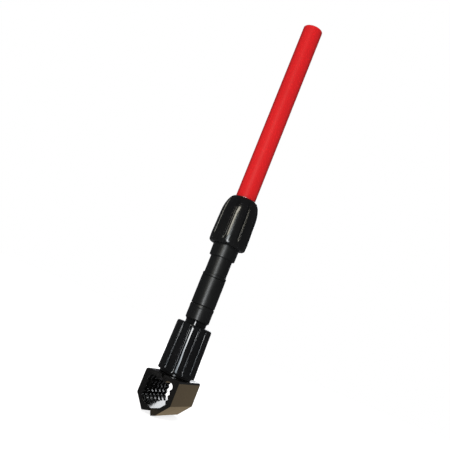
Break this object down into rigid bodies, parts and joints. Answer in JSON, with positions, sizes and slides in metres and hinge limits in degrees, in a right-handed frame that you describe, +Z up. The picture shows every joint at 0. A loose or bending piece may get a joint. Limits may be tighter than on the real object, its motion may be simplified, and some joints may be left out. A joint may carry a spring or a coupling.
{
  "type": "jaw clamp mop handle",
  "caption": "Round red handle tube in a lobed barrel nut and socket, with a grooved twist collar that closes a pair of toothed clamp jaws.",
  "frame": {"origin": "on the handle's axis, level with the lowest point of the closed jaws", "axes": "+Z runs up the handle from the jaws to the open tube end, the jaws' tunnel runs along Y, and the jaws open along X"},
  "size_m": [0.0476, 0.07, 0.519],
  "materials": {
    "red_tube": "smooth gloss red finish on a round fibreglass tube",
    "satin_black": "satin moulded black plastic",
    "gloss_black": "polished moulded black plastic",
    "barrel_black": "semi-gloss moulded black plastic with smooth lobes",
    "jaw_black": "glossy moulded black nylon",
    "grey_plastic": "plain moulded grey plastic",
    "acetal": "natural white acetal plastic, self-lubricating",
    "bright_steel": "bright plated steel",
    "spring_steel": "drawn spring wire",
    "seal_rubber": "soft black rubber"
  },
  "bodies": {
    "frame": {"handle_tube": "red_tube", "tube_plug": "grey_plastic", "collet_socket": "satin_black", "lock_ring": "satin_black", "socket_pin": "bright_steel", "neck_band": "satin_black", "ferrule_sleeve": "satin_black", "shank_cap": "satin_black", "jaw_carrier": "gloss_black", "travel_clip": "spring_steel", "hinge_pins": "bright_steel", "pin_clips": "spring_steel", "jaw_springs": "spring_steel"},
    "grip_slider": {"wedge_ring": "acetal", "grip_washer": "bright_steel"},
    "barrel": {"barrel_nut": "barrel_black", "dust_ring": "seal_rubber"},
    "press_slider": {"pressure_ring": "jaw_black", "thrust_washer": "bright_steel"},
    "collar": {"collar_nut": "gloss_black", "collar_wiper": "seal_rubber"},
    "left_jaw": {"left_jaw": "jaw_black"},
    "right_jaw": {"right_jaw": "jaw_black"}
  },
  "joints": [
    {"name": "barrel_lift", "type": "slide", "parent": "frame", "child": "grip_slider", "axis": [0, 0, 1], "range_m": [0, 0.003]},
    {"name": "barrel_turn", "type": "hinge", "parent": "grip_slider", "child": "barrel", "pos_m": [0, 0, 0.24], "axis": [0, 0, 1], "range_deg": [0, 270]},
    {"name": "collar_lift", "type": "slide", "parent": "frame", "child": "press_slider", "axis": [0, 0, 1], "range_m": [0, 0.005]},
    {"name": "collar_turn", "type": "hinge", "parent": "press_slider", "child": "collar", "pos_m": [0, 0, 0.08], "axis": [0, 0, 1], "range_deg": [0, 225]},
    {"name": "left_jaw_hinge", "type": "hinge", "parent": "frame", "child": "left_jaw", "pos_m": [-0.0039, 0, 0.0422], "axis": [0, 1, 0], "range_deg": [0, 16.5]},
    {"name": "right_jaw_hinge", "type": "hinge", "parent": "frame", "child": "right_jaw", "pos_m": [0.0039, 0, 0.0422], "axis": [0, -1, 0], "range_deg": [0, 16.5]}
  ],
  "couplings": [
    {"joint": "barrel_lift", "follows": "barrel_turn", "m_per_rad": 0.000636},
    {"joint": "collar_lift", "follows": "collar_turn", "m_per_rad": 0.00127},
    {"joint": "left_jaw_hinge", "follows": "collar_turn", "ratio": 0.0733},
    {"joint": "right_jaw_hinge", "follows": "collar_turn", "ratio": 0.0733}
  ]
}
